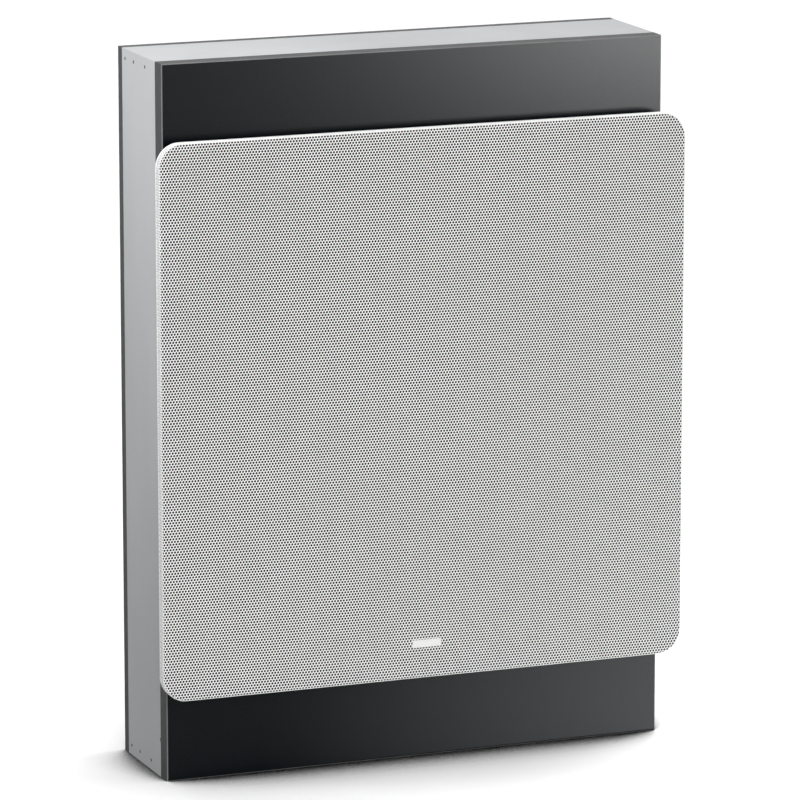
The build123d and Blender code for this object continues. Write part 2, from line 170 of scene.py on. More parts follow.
class Surface(Graph):
    """One procedural material, built node by node in object coordinates, which are metres."""

    def __init__(self, name, roughness=0.5, metallic=0.0, specular=0.5):
        self.material = bpy.data.materials.new(name)
        self.material.use_nodes = True
        super().__init__(self.material.node_tree)
        self.shader = self.tree.nodes["Principled BSDF"]
        self.set("Roughness", roughness)
        self.set("Metallic", metallic)
        self.set("Specular IOR Level", specular)
        self.place = self.node("ShaderNodeTexCoord").outputs["Object"]

    def set(self, name, value):
        self.feed(self.shader.inputs[name], value)

    def stretched(self, factors):
        mapping = self.node("ShaderNodeMapping")
        self.feed(mapping.inputs["Vector"], self.place)
        mapping.inputs["Scale"].default_value = factors
        return mapping.outputs["Vector"]

    def noise(self, scale, detail=3.0, rough=0.55, factors=None):
        made = self.node("ShaderNodeTexNoise")
        self.feed(made.inputs["Vector"], self.stretched(factors) if factors else self.place)
        made.inputs["Scale"].default_value = scale
        made.inputs["Detail"].default_value = detail
        made.inputs["Roughness"].default_value = rough
        return made.outputs["Fac"]

    def cells(self, scale):
        made = self.node("ShaderNodeTexVoronoi")
        self.feed(made.inputs["Vector"], self.place)
        made.inputs["Scale"].default_value = scale
        return made.outputs["Distance"]

    def threads(self, spacing, direction):
        """Even waves along one axis, `spacing` millimetres apart."""
        made = self.node("ShaderNodeTexWave", wave_type="BANDS", bands_direction=direction)
        self.feed(made.inputs["Vector"], self.place)
        made.inputs["Scale"].default_value = math.pi / (10.0 * spacing * MM)
        return made.outputs["Fac"]

    def bump(self, height, distance, strength=1.0):
        """Raise the surface by a height map, `distance` millimetres at most."""
        made = self.node("ShaderNodeBump")
        self.feed(made.inputs["Height"], height)
        made.inputs["Distance"].default_value = distance * MM
        made.inputs["Strength"].default_value = strength
        self.set("Normal", made.outputs["Normal"])


def grey(value, tint=(1.0, 1.0, 1.0)):
    return (value * tint[0], value * tint[1], value * tint[2], 1.0)


def satin_foil(name, dark, pale):
    """Black satin foil with a faint mottle and a fine pressed texture."""
    made = Surface(name, specular=0.075)
    made.set("Base Color", made.blend(made.noise(38.0, detail=4.0), dark, pale))
    made.set("Roughness", made.ramp(made.noise(1400.0, detail=2.0), 0.27, 0.29))
    made.bump(made.noise(1900.0, detail=2.0), 0.004)
    return made.material


def raw_board(name, dark, pale, layers=(1.0, 3.0, 1.0)):
    """Raw fibreboard: packed fibres, darker specks and a soft saw texture."""
    made = Surface(name, roughness=0.82, specular=0.25)
    fibres = made.noise(900.0, detail=6.0, rough=0.7, factors=layers)
    drift = made.noise(55.0)
    body = made.blend(made.ramp(fibres, 0.0, 1.0), dark, pale)
    made.set("Base Color", made.blend(made.ramp(drift, 0.0, 0.3), body, dark))
    made.bump(made.combine("ADD", fibres, made.noise(2600.0, detail=2.0)), 0.06, 0.7)
    return made.material


def panel_paint(name, dark, pale):
    """Smooth paint on board: a faint roller drift, fine grain and a soft sheen."""
    made = Surface(name, specular=0.05)
    drift = made.noise(9.0, rough=0.5, factors=(1.0, 1.0, 0.35))
    grain = made.noise(1300.0, rough=0.6)
    tone = made.blend(made.ramp(drift, 0.0, 1.0), dark, pale)
    made.set("Base Color", made.blend(made.ramp(grain, 0.0, 0.1), tone, grey(0.22)))
    made.set("Roughness", made.ramp(grain, 0.74, 0.86))
    made.bump(made.combine("ADD", grain, made.noise(420.0, detail=2.0)), 0.02, 0.6)
    return made.material


def powder_coat(name, colour):
    """Powder coat: a fine orange-peel surface with a soft gloss and a trace of dust."""
    made = Surface(name, specular=0.06)
    peel = made.noise(2400.0, detail=2.0, rough=0.5)
    dust = made.noise(60.0)
    made.set("Base Color", made.blend(made.ramp(dust, 0.0, 0.5), colour, grey(0.97, colour)))
    made.set("Roughness", made.ramp(peel, 0.6, 0.72))
    made.bump(peel, 0.01, 0.5)
    return made.material


def moulded(name, dark, pale, gloss=(0.42, 0.55), depth=0.02):
    """Moulded plastic with a spark-eroded texture."""
    made = Surface(name)
    spark = made.cells(2600.0)
    made.set("Base Color", made.blend(made.ramp(made.noise(140.0), 0.0, 1.0), dark, pale))
    made.set("Roughness", made.ramp(made.noise(700.0, detail=2.0), *gloss))
    made.bump(spark, depth, 0.6)
    return made.material


def worked_metal(name, dark, pale, gloss, factors):
    """Metal with a directional working grain."""
    made = Surface(name, metallic=1.0)
    grain = made.noise(420.0, detail=4.0, rough=0.6, factors=factors)
    made.set("Base Color", made.blend(made.ramp(grain, 0.0, 1.0), dark, pale))
    made.set("Roughness", made.ramp(made.noise(220.0, rough=0.5, factors=factors), *gloss))
    made.bump(grain, 0.01, 0.5)
    return made.material


def woven(name, dark, pale, thread, depth):
    """Plain weave of two crossing threads, `thread` millimetres apart."""
    made = Surface(name, roughness=0.9, specular=0.2)
    cross = made.combine("MULTIPLY", made.threads(thread, "X"), made.threads(thread, "Z"))
    fuzz = made.combine("ADD", cross, made.noise(2000.0))
    made.set("Base Color", made.blend(made.ramp(fuzz, 0.0, 1.0, 0.3, 1.2), dark, pale))
    made.bump(cross, depth, 0.8)
    return made.material


def fibrous(name, dark, pale, scale, depth, rough=0.85):
    """Pressed or felted fibres: paper pulp, wadding or sintered grains."""
    made = Surface(name, roughness=rough, specular=0.25)
    fibres = made.noise(scale, detail=6.0, rough=0.7)
    blotch = made.combine("MULTIPLY", fibres, made.noise(scale * 0.08))
    made.set("Base Color", made.blend(made.ramp(blotch, 0.0, 1.0, 0.1, 0.45), dark, pale))
    made.bump(fibres, depth, 0.8)
    return made.material


def soft_rubber(name, dark, pale):
    """Moulded rubber with a dusty bloom."""
    made = Surface(name, specular=0.35)
    bloom = made.noise(90.0, detail=4.0)
    made.set("Base Color", made.blend(made.ramp(bloom, 0.0, 1.0), dark, pale))
    made.set("Roughness", made.ramp(bloom, 0.55, 0.72))
    made.bump(made.noise(1800.0, detail=2.0), 0.015, 0.6)
    return made.material


def wound_wire(name, dark, pale, pitch):
    """Enamelled wire wound in turns, `pitch` millimetres apart along the driver's axis."""
    made = Surface(name, metallic=0.8)
    turns = made.threads(pitch, "Y")
    made.set("Base Color", made.blend(turns, dark, pale))
    made.set("Roughness", made.ramp(made.noise(300.0, detail=2.0), 0.28, 0.42))
    made.bump(turns, 0.1, 0.9)
    return made.material


# Faint cool cast of the painted and pressed boards, an even metal grain, and the gloss of the levers
COOL = (0.98, 1.0, 1.02)
EVEN = (1.0, 1.0, 1.0)
LEVER_GLOSS = (0.24, 0.36)

# Finishes: the function that makes each one, then its colours, then values of its own
recipes = {
    "black_panel": (satin_foil, (0.0014, 0.0022, 0.0030, 1), (0.0022, 0.0032, 0.0042, 1)),
    "baffle_board": (raw_board, grey(0.027, COOL), grey(0.072, COOL)),
    # Paler board on the baffle's cut bevel: the raw cut edge, made lighter as a painted highlight along it
    "cut_edge": (raw_board, grey(0.1), grey(0.2)),
    "grey_panel": (panel_paint, grey(0.415, COOL), grey(0.48, COOL)),
    "dark_board": (raw_board, grey(0.027, COOL), grey(0.072, COOL)),
    "rear_board": (raw_board, grey(0.04, COOL), grey(0.11, COOL)),
    "mark_paint": (powder_coat, (0.6, 0.6, 0.58, 1)),
    "inner_board": (raw_board, (0.2, 0.14, 0.085, 1), (0.36, 0.26, 0.16, 1), (1.0, 1.0, 3.0)),
    "white_steel": (powder_coat, (0.88, 0.88, 0.88, 1)),
    "scrim": (woven, grey(0.006), grey(0.016), 0.35, 0.15),
    "badge": (powder_coat, (0.7, 0.7, 0.7, 1)),
    "frame_plastic": (moulded, grey(0.012), grey(0.026)),
    "fastener_steel": (worked_metal, grey(0.05), grey(0.16), (0.34, 0.5), EVEN),
    "pin_steel": (moulded, grey(0.004), grey(0.012), (0.6, 0.75)),
    "zinc_steel": (worked_metal, grey(0.2), grey(0.34), (0.3, 0.45), EVEN),
    "plated_steel": (worked_metal, grey(0.42), grey(0.62), (0.25, 0.42), (1, 0.1, 1)),
    "basket_metal": (moulded, grey(0.03), grey(0.07), (0.5, 0.65), 0.05),
    "rubber": (soft_rubber, grey(0.01), grey(0.024)),
    "cone_paper": (fibrous, grey(0.012), grey(0.05), 500.0, 0.08),
    "spider_cloth": (woven, (0.36, 0.21, 0.06, 1), (0.58, 0.4, 0.16, 1), 0.6, 0.15),
    "coil_copper": (wound_wire, (0.3, 0.12, 0.05, 1), (0.78, 0.42, 0.24, 1), 0.4),
    "ferrite": (fibrous, grey(0.03), grey(0.065), 900.0, 0.05, 0.7),
    "terminal_plastic": (moulded, grey(0.014), grey(0.028)),
    "red_plastic": (moulded, (0.4, 0.012, 0.01, 1), (0.55, 0.022, 0.016, 1), LEVER_GLOSS, 0.006),
    "black_plastic": (moulded, grey(0.012), grey(0.022), LEVER_GLOSS, 0.006),
    "red_wire": (soft_rubber, (0.4, 0.012, 0.01, 1), (0.52, 0.02, 0.015, 1)),
    "black_wire": (soft_rubber, grey(0.014), grey(0.024)),
    "wadding": (fibrous, grey(0.5), (0.82, 0.82, 0.8, 1), 260.0, 0.6, 0.95),
    "chip": (raw_board, grey(0.012), grey(0.04)),
}
surfaces = {name: make(name, *values) for name, (make, *values) in recipes.items()}

# Finish of every node that is shown as it is packed, apart from those with two finishes or more
finishes = {
    "right_side_panel": "grey_panel",
    "top_panel": "grey_panel",
    "bottom_panel": "grey_panel",
    "upper_brace": "inner_board",
    "lower_brace": "inner_board",
    "mounting_frame": "frame_plastic",
    "frame_screws": "fastener_steel",
    "grille_magnets": "plated_steel",
    "grille_badge": "badge",
    "driver_basket": "basket_metal",
    "driver_screws": "fastener_steel",
    "driver_cone": "cone_paper",
    "dust_cap": "cone_paper",
    "spider": "spider_cloth",
    "voice_coil": "coil_copper",
    "top_plate": "plated_steel",
    "ring_magnet": "ferrite",
    "yoke": "plated_steel",
    "driver_terminal": "terminal_plastic",
    "terminal_cup": "terminal_plastic",
    "terminal_block": "terminal_plastic",
    "lever_red": "red_plastic",
    "lever_black": "black_plastic",
    "wire_red": "red_wire",
    "wire_black": "black_wire",
}

# Width of the small bevel on packed edges, in millimetres
bevels = {
    "left_side_panel": 0.25,
    "right_side_panel": 0.25,
    "top_panel": 0.25,
    "bottom_panel": 0.25,
    "rear_panel": 0.4,
    "grille_badge": 0.25,
    "terminal_cup": 0.4,
    "terminal_block": 0.35,
    "lever_red": 0.4,
    "lever_black": 0.4,
    "mounting_frame": 0.3,
}
SHARP_EDGE = math.radians(35)


def dress(obj, *names):
    """Put the named finishes in the object's material slots, in order."""
    obj.data.materials.clear()
    for name in names:
        obj.data.materials.append(surfaces[name])


def soften(obj, width):
    """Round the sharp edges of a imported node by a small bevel."""
    bevel = obj.modifiers.new("edges", "BEVEL")
    bevel.width = width * MM
    bevel.segments = 2
    bevel.limit_method = "ANGLE"
    bevel.angle_limit = SHARP_EDGE
    bevel.use_clamp_overlap = True


for node_name, finish in finishes.items():
    dress(nodes[node_name], finish)
for node_name, bevel_width in bevels.items():
    soften(nodes[node_name], bevel_width)

# Left side: the small faces of the chip near its foot are coloured nearly black, darker than the raw board
CHIP_SIDE = -173.0
CHIP_FRONT = -28.0
CHIP_LOW = 19.0
CHIP_HIGH = 27.0
CHIP_AREA = 2e-5
chipped = nodes["left_side_panel"]
dress(chipped, "grey_panel", "chip")
for polygon in chipped.data.polygons:
    x, y, z = polygon.center / MM
    in_reach = x < CHIP_SIDE and y < CHIP_FRONT and CHIP_LOW < z < CHIP_HIGH
    polygon.material_index = 1 if in_reach and polygon.area < CHIP_AREA else 0

# Rear panel: its broad back is paler than its sawn edges
FACING = 0.9
rear = nodes["rear_panel"]
dress(rear, "dark_board", "rear_board")
for polygon in rear.data.polygons:
    polygon.material_index = 1 if polygon.normal.y > FACING else 0

# Front baffle: foil on its face, a cut bevel round it in paler board that is partly a painted highlight, raw
# board on its edges and in the cut-out
FOIL_DEPTH = -0.042
CUT_FACING = 0.5
baffle = nodes["front_baffle"]
dress(baffle, "black_panel", "baffle_board", "cut_edge")
for polygon in baffle.data.polygons:
    on_face = polygon.normal.y < -FACING and polygon.center.y < FOIL_DEPTH
    on_highlight_bevel = -FACING < polygon.normal.y < -CUT_FACING
    polygon.material_index = 0 if on_face else 2 if on_highlight_bevel else 1


def new_piece(name, mesh, finish, body="cabinet"):
    """Link a new piece of the object, dressed, and riding on its body when one is given."""
    piece = bpy.data.objects.new(name, mesh)
    scene.collection.objects.link(piece)
    dress(piece, finish)
    if body:
        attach(piece, body)
    return piece


def box_mm(node):
    """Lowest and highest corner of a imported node, in millimetres."""
    low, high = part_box(node)
    return np.array(low) / MM, np.array(high) / MM


def array_mesh(name, points, faces, smooth):
    """Mesh from points in millimetres and lists of (n, k) face arrays; `smooth` has one flag per list."""
    flat = np.concatenate([f.ravel() for f in faces])
    used, index = np.unique(flat, return_inverse=True)
    counts = np.concatenate([np.full(len(f), f.shape[1]) for f in faces])
    flags = np.concatenate([np.full(len(f), s) for f, s in zip(faces, smooth)])
    mesh = bpy.data.meshes.new(name)
    mesh.vertices.add(len(used))
    mesh.vertices.foreach_set("co", (points[used] * MM).astype(np.float32).ravel())
    mesh.loops.add(len(index))
    mesh.loops.foreach_set("vertex_index", index.astype(np.int32).ravel())
    mesh.polygons.add(len(counts))
    starts = np.concatenate([[0], np.cumsum(counts)[:-1]])
    mesh.polygons.foreach_set("loop_start", starts.astype(np.int32))
    mesh.polygons.foreach_set("use_smooth", flags.astype(bool))
    mesh.update(calc_edges=True)
    mesh.validate()
    return mesh


def outward_faces(mesh):
    """Turn every face of a closed mesh outward."""
    loose = bmesh.new()
    loose.from_mesh(mesh)
    bmesh.ops.recalc_face_normals(loose, faces=loose.faces[:])
    loose.to_mesh(mesh)
    loose.free()


def ring_quads(count, rings):
    """Four-sided faces between each ring of `count` points and the next one."""
    own = np.arange(count)
    following = np.roll(own, -1)
    strip = np.stack([own, following, following + count, own + count], axis=1)
    return np.concatenate([strip + k * count for k in range(rings - 1)])


# Outline of the grille: centre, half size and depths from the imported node, in millimetres
grille_low, grille_high = box_mm("grille")
grille_centre = (grille_low + grille_high) / 2
half_size = (grille_high[0] - grille_low[0]) / 2
grille_front = grille_low[1]
skirt_depth = grille_high[1] - grille_front
bend_half = half_size - BEND
bend_corner = CORNER - BEND
bend_arc = BEND * math.pi / 2
sheet_reach = bend_arc + skirt_depth - BEND


def beyond_bend(points):
    """Distance of flat-sheet points outside the bend line, and the direction away from it."""
    core = bend_half - bend_corner
    away = np.abs(points) - core
    outer = np.maximum(away, 0.0)
    length = np.linalg.norm(outer, axis=1)
    distance = length + np.minimum(away.max(axis=1), 0.0) - bend_corner
    direction = np.sign(points) * outer / np.maximum(length, 1e-9)[:, None]
    return distance, direction


def formed(points):
    """Flat-sheet points laid on the formed pan: face, bend and skirt. Returns places and normals."""
    distance, direction = beyond_bend(points)
    past = np.maximum(distance, 0.0)
    angle = np.minimum(past / BEND, math.pi / 2)
    straight = np.maximum(past - bend_arc, 0.0)
    foot = points - direction * past[:, None]
    across = foot + direction * (BEND * np.sin(angle))[:, None]
    back = BEND * (1.0 - np.cos(angle)) + straight
    places = np.stack(
        [across[:, 0] + grille_centre[0], grille_front + back, across[:, 1] + grille_centre[2]], axis=1
    )
    normals = np.stack(
        [direction[:, 0] * np.sin(angle), -np.cos(angle), direction[:, 1] * np.sin(angle)], axis=1
    )
    return places, normals


def outline(half, corner, step):
    """Rounded square of points, anticlockwise, about `step` apart."""
    core = half - corner
    loop = []
    turns = max(4, int(corner * math.pi / 2 / step))
    runs = max(1, int(2 * core / step))
    for quarter in range(4):
        start = math.pi / 2 * quarter
        centre = (core * (1 if quarter in (0, 3) else -1), core * (1 if quarter < 2 else -1))
        for k in range(turns + 1):
            angle = start + math.pi / 2 * k / turns
            loop.append((centre[0] + corner * math.cos(angle), centre[1] + corner * math.sin(angle)))
        last = np.array(loop[-1])
        heading = np.array((math.cos(start + math.pi), math.sin(start + math.pi)))
        loop.extend(tuple(last + heading * 2 * core * k / runs) for k in range(1, runs))
    return np.array(loop)


def inside_loop(points, loop):
    """True for each point that lies inside a closed loop."""
    ends = np.roll(loop, -1, axis=0)
    found = np.zeros(len(points), bool)
    for (x0, y0), (x1, y1) in zip(loop, ends):
        if y0 == y1:
            continue
        crosses = (points[:, 1] < y0) != (points[:, 1] < y1)
        found ^= crosses & (points[:, 0] < x0 + (points[:, 1] - y0) * (x1 - x0) / (y1 - y0))
    return found


def chained(edges):
    """Order the edges of one closed loop into its list of points."""
    following = dict(edges)
    loop = [edges[0][0]]
    for _ in range(len(edges) - 1):
        loop.append(following[loop[-1]])
    return np.array(loop)


def perforated_sheet():
    """The grille's formed sheet with every one of its small staggered holes, in a few bands."""
    row_step = PITCH * math.sqrt(3) / 2
    reach = half_size + sheet_reach
    rows = int(reach / row_step) + 1
    columns = int(reach / PITCH) + 2
    row, column = np.meshgrid(np.arange(-rows, rows + 1), np.arange(-columns, columns + 1), indexing="ij")
    centres = np.stack([(column + 0.5 * (row % 2)) * PITCH, row * row_step], axis=2)
    depth, _ = beyond_bend(centres.reshape(-1, 2))
    kept = (depth < sheet_reach - RIM).reshape(row.shape)
    number = np.full(row.shape, -1)
    number[kept] = np.arange(kept.sum())
    holes = centres[kept]
    corners = np.radians(30 + 60 * np.arange(6))
    shape = np.stack([np.cos(corners), np.sin(corners)], axis=1) * HOLE
    flat = (holes[:, None, :] + shape[None]).reshape(-1, 2)

    def neighbour(rise, even_shift, odd_shift):
        """Number of the hole that lies `rise` rows up, with the column shift of even and odd rows."""
        shifted = np.full(row.shape, -1)
        for parity, shift in ((0, even_shift), (1, odd_shift)):
            source = np.roll(np.roll(number, -rise, axis=0), -shift, axis=1)
            shifted = np.where(row % 2 == parity, source, shifted)
        return shifted[kept]

    own = np.arange(len(holes))
    right = neighbour(0, 1, 1)
    up_right = neighbour(1, 0, 1)
    up_left = neighbour(1, -1, 0)
    down_right = neighbour(-1, 0, 1)

    def strip(other, first, second, third, fourth):
        """Four-sided faces between the facing edges of neighbouring holes, and the hole that owns each."""
        have = other >= 0
        a, b = own[have] * 6, other[have] * 6
        return np.stack([a + first, b + second, b + third, a + fourth], axis=1), own[have]

    def wedge(other, third_hole, first, second, third):
        """Three-sided faces between the nearest corners of three holes, and the hole that owns each."""
        have = (other >= 0) & (third_hole >= 0)
        a, b, c = own[have] * 6, other[have] * 6, third_hole[have] * 6
        return np.stack([a + first, b + second, c + third], axis=1), own[have]

    quads = [strip(right, 5, 3, 2, 0), strip(up_right, 0, 4, 3, 1), strip(up_left, 1, 5, 4, 2)]
    wedges = [wedge(right, up_right, 0, 2, 4), wedge(right, down_right, 5, 3, 1)]
    quad_faces = np.concatenate([faces for faces, _ in quads])
    quad_owner = np.concatenate([owner for _, owner in quads])
    wedge_faces = np.concatenate([wedges[0][0], wedges[1][0][:, ::-1]])
    wedge_owner = np.concatenate([owner for _, owner in wedges])

    # Plain rim: the strip between the outermost holes and the sheet's cut edge
    hexes = own[:, None] * 6 + np.arange(6)
    border = {}
    for faces in (quad_faces, wedge_faces, hexes):
        for a, b in zip(faces.ravel(), np.roll(faces, -1, axis=1).ravel()):
            if (b, a) in border:
                del border[(b, a)]
            else:
                border[(a, b)] = True
    inner = chained(list(border))
    rim = outline(bend_half + sheet_reach, bend_corner + sheet_reach, RIM_STEP)
    loops = np.concatenate([flat[inner], rim])
    count = len(inner)
    ring = [(k, (k + 1) % count) for k in range(count)]
    ring += [(count + k, count + (k + 1) % len(rim)) for k in range(len(rim))]
    filled = delaunay_2d_cdt([Vector(p) for p in loops], ring, [], 0, 1e-7)
    origin = [source[0] for source in filled[3]]
    names = np.concatenate([inner, len(flat) + np.arange(len(rim))])
    triangles = np.array([[origin[v] for v in face] for face in filled[2]])
    middle = loops[triangles].mean(axis=1)
    triangles = names[triangles[~inside_loop(middle, flat[inner])]]

    # Lay the flat sheet on the pan, then add the hole walls and the cut edge's thickness
    places, normals = formed(np.concatenate([flat, rim]))
    total = len(places)
    points = np.concatenate([places, places, places - normals * SHEET])
    following = np.roll(hexes, -1, axis=1)
    walls = np.stack([hexes, following, following + total, hexes + total], axis=2) + total
    walls = walls.reshape(-1, 4)
    wall_owner = np.repeat(own, 6)
    edge = len(flat) + np.arange(len(rim))
    lip = np.stack([edge, edge + total, np.roll(edge, -1) + total, np.roll(edge, -1)], axis=1) + total

    def facing_out(faces):
        """Turn the faces so that they look away from the sheet's inside."""
        spot = points[faces[:, :3]]
        across = np.cross(spot[:, 1] - spot[:, 0], spot[:, 2] - spot[:, 0])
        outward = np.einsum("ij,ij->i", across, normals[faces[:, 0]])
        return np.where((outward < 0)[:, None], faces[:, ::-1], faces)

    quad_faces, wedge_faces, triangles = map(facing_out, (quad_faces, wedge_faces, triangles))
    bands = np.searchsorted(np.quantile(holes[:, 1], np.arange(1, BANDS) / BANDS), holes[:, 1])
    for band in range(BANDS):
        faces = [
            quad_faces[bands[quad_owner] == band],
            wedge_faces[bands[wedge_owner] == band],
            walls[bands[wall_owner] == band],
        ]
        smooth = [True, True, False]
        if band == 0:
            faces += [triangles, lip]
            smooth += [True, False]
        mesh = array_mesh(f"grille_sheet_{band + 1}", points, faces, smooth)
        sheet = new_piece(f"grille_sheet_{band + 1}", mesh, "white_steel")
        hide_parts("grille")


def scrim_cloth():
    """Black cloth glued inside the pan, over its face and round its bend."""
    seam = outline(bend_half, bend_corner, CLOTH_STEP)
    core = bend_half - bend_corner
    heading = (seam - np.clip(seam, -core, core)) / bend_corner
    steps = np.linspace(0.0, bend_arc, 5)
    rings = []
    for step in steps:
        places, normals = formed(seam + heading * step)
        rings.append(places - normals * (SHEET + CLOTH_GAP))
    count = len(seam)
    front = np.arange(count)[None, ::-1]
    faces = [front, ring_quads(count, len(rings))]
    mesh = array_mesh("scrim_cloth", np.concatenate(rings), faces, [False, True])
    piece = new_piece("scrim_cloth", mesh, "scrim")
    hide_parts("grille_scrim")


def screw_heads():
    """Pan-head screws of the terminal cup, each with a cross recess, a plain shank and a point."""
    low, high = box_mm("cup_screws")
    around = np.radians(np.arange(0, 360, 7.5))
    count = len(around)
    circle = np.stack([np.cos(around), np.zeros(count), np.sin(around)], axis=1)
    rings = []
    for radius in np.linspace(0.0, SCREW_HEAD, 19)[1:]:
        ring = radius * circle
        arm = np.abs(ring[:, ::2]).min(axis=1)
        dome = SCREW_RISE * math.sqrt(max(1.0 - (radius / SCREW_HEAD) ** 3, 0.0))
        inside = np.clip((RECESS_HALF - arm) / RECESS_SIDE + 0.5, 0.0, 1.0)
        inside *= np.clip((RECESS_REACH - radius) / RECESS_END, 0.0, 1.0)
        ring[:, 1] = dome - RECESS_DEPTH * inside
        rings.append(ring)
    length = high[1] - low[1] - SCREW_RISE
    shank = ((SCREW_SHANK, 0.0), (SCREW_SHANK, SCREW_POINT - length), (SCREW_TIP, -length))
    for radius, depth in ((SCREW_HEAD, 0.0), *shank):
        rings.append(radius * circle + (0.0, depth, 0.0))
    single = np.concatenate([[[0.0, SCREW_RISE - RECESS_DEPTH, 0.0]], *rings])
    own = np.arange(count)
    tips = np.stack([np.zeros(count, int), np.roll(own, -1) + 1, own + 1], axis=1)
    sides = ring_quads(count, len(rings)) + 1
    points, caps, walls = [], [], []
    for x in (low[0] + SCREW_HEAD, high[0] - SCREW_HEAD):
        for z in (low[2] + SCREW_HEAD, high[2] - SCREW_HEAD):
            first = len(points) * len(single)
            points.append(single + (x, high[1] - SCREW_RISE, z))
            caps.append(tips + first)
            walls.append(sides + first)
    faces = [np.concatenate(caps), np.concatenate(walls)]
    mesh = array_mesh("cup_screw_heads", np.concatenate(points), faces, [True, True])
    piece = new_piece("cup_screw_heads", mesh, "zinc_steel")
    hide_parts("cup_screws")


def pin_heads():
    """Panel pins at both ends of the side panels: a low domed head, a plain shank and a point."""
    low, high = box_mm("panel_pins")
    side_rear = box_mm("left_side_panel")[1][1]
    around = np.radians(np.arange(0, 360, 22.5))
    count = len(around)
    circle = np.stack([np.zeros(count), np.cos(around), np.sin(around)], axis=1)
    rings = [radius * circle + (rise, 0.0, 0.0) for radius, rise in PIN_HEAD + PIN_SHANK]
    single = np.concatenate([[[PIN_CROWN, 0.0, 0.0]], *rings])
    own = np.arange(count)
    tips = np.stack([np.zeros(count, int), own + 1, np.roll(own, -1) + 1], axis=1)
    sides = ring_quads(count, len(rings))[:, ::-1] + 1
    points, caps, walls = [], [], []
    for side, face in ((-1, low[0]), (1, high[0])):
        for depth in PIN_DEPTHS:
            for height in (low[2] + PIN_REACH, high[2] - PIN_REACH):
                first = len(points) * len(single)
                points.append(single * (side, 1.0, 1.0) + (face, side_rear - depth, height))
                caps.append(tips[:, ::side] + first)
                walls.append(sides[:, ::side] + first)
    faces = [np.concatenate(caps), np.concatenate(walls)]
    mesh = array_mesh("panel_pin_heads", np.concatenate(points), faces, [True, True])
    piece = new_piece("panel_pin_heads", mesh, "pin_steel")
    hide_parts("panel_pins")


def rounded_bars(name, bars, finish, body):
    """Half-round bars on a +Y face, each (centre, half length along x, half length along z, rise)."""
    arch = np.radians(np.linspace(0, 180, 9))
    row = len(arch)
    points, quads, ends = [], [], []
    for (x, y, z), half_x, half_z, rise in bars:
        along_x = half_x >= half_z
        reach, girth = max(half_x, half_z), min(half_x, half_z)
        taper = tuple((run - reach, scale) for run, scale in BAR_TAPER)
        stations = taper + tuple((-place, scale) for place, scale in reversed(taper))
        first = len(points)
        for place, scale in stations:
            for angle in arch:
                across = girth * scale * math.cos(angle)
                up = rise * scale * math.sin(angle)
                points.append((x + place, y + up, z + across) if along_x else (x + across, y + up, z + place))
        for k in range(len(stations) - 1):
            for m in range(row - 1):
                corner = first + k * row + m
                quads.append((corner, corner + 1, corner + row + 1, corner + row))
        ends.append(range(first, first + row))
        ends.append(range(len(points) - row, len(points)))
    faces = [np.array(quads), np.array([list(end) for end in ends])]
    mesh = array_mesh(name, np.array(points), faces, [True, False])
    outward_faces(mesh)
    new_piece(name, mesh, finish, body)


def lever_details():
    """Finger ridges on the levers, and the plus and minus marks on the cup's flange."""
    cup_low, cup_high = box_mm("terminal_cup")
    for colour in ("red", "black"):
        lever_low, lever_high = box_mm(f"lever_{colour}")
        middle = (lever_low[0] + lever_high[0]) / 2
        plastic = f"{colour}_plastic"
        ridges = [
            ((middle, lever_high[1], lever_high[2] - drop), RIDGE_HALF, RIDGE_GIRTH, RIDGE_GIRTH)
            for drop in RIDGE_DROPS
        ]
        rounded_bars(f"lever_{colour}_ridges", ridges, plastic, f"{colour}_lever")
        spot = (middle, cup_high[1], cup_low[2] + MARK_UP)
        bars = [(spot, MARK_HALF, MARK_GIRTH, MARK_RISE)]
        if colour == "red":
            bars.append((spot, MARK_GIRTH, MARK_HALF, MARK_RISE))
        rounded_bars(f"{colour}_polarity_mark", bars, "mark_paint", "cabinet")


def rubber_surround():
    """Half-roll ring in sectors, each laid out along its own radius, from the basket's flange to the cone."""
    low, high = box_mm("driver_surround")
    cone_low, cone_high = box_mm("driver_cone")
    centre = (low + high) / 2
    cone_edge = (cone_high[0] - cone_low[0]) / 2
    outer = (high[0] - low[0]) / 2 - SURROUND_EDGE
    mouth = outer - SURROUND_LIP
    base = high[1] - RUBBER / 2 - GLUE
    rise = base - low[1] - RUBBER / 2
    arch = np.radians(np.linspace(0, 180, 13))
    roll = (mouth + cone_edge) / 2 + (mouth - cone_edge) / 2 * np.cos(arch)
    outer_lip = [outer, outer - SURROUND_FOLD]
    inner_lip = [cone_edge - CONE_LIP / 2, cone_edge - CONE_LIP]
    radii = np.concatenate([outer_lip, roll, inner_lip])
    depths = np.concatenate([[base, base], base - rise * np.sin(arch), [base, base]])
    line = np.stack([radii, depths], axis=1)
    along = np.gradient(line, axis=0)
    along /= np.linalg.norm(along, axis=1)[:, None]
    normal = np.stack([along[:, 1], -along[:, 0]], axis=1) * RUBBER / 2
    section = np.concatenate([line + normal, (line - normal)[::-1]])
    radius, depth = section.T
    count = len(section)
    front = np.arange(len(line) - 1)
    cap = np.stack([front, front + 1, count - 2 - front, count - 1 - front], axis=1)
    spread = math.pi / SECTORS
    stations = np.linspace(SECTOR_GAP - spread, spread - SECTOR_GAP, 5)
    sides = ring_quads(count, len(stations))
    caps = np.concatenate([cap, cap + (len(stations) - 1) * count])
    for sector in range(SECTORS):
        heading = 2 * spread * sector
        points = np.concatenate([
            np.stack([radius * math.cos(turn), depth, radius * math.sin(turn)], axis=1)
            for turn in heading + stations
        ])
        points += (centre[0], 0.0, centre[2])
        name = f"surround_roll_{sector + 1}"
        mesh = array_mesh(name, points, [sides, caps], [True, False])
        outward_faces(mesh)
        piece = new_piece(name, mesh, "rubber", None)
        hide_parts("driver_surround")
        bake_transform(piece)


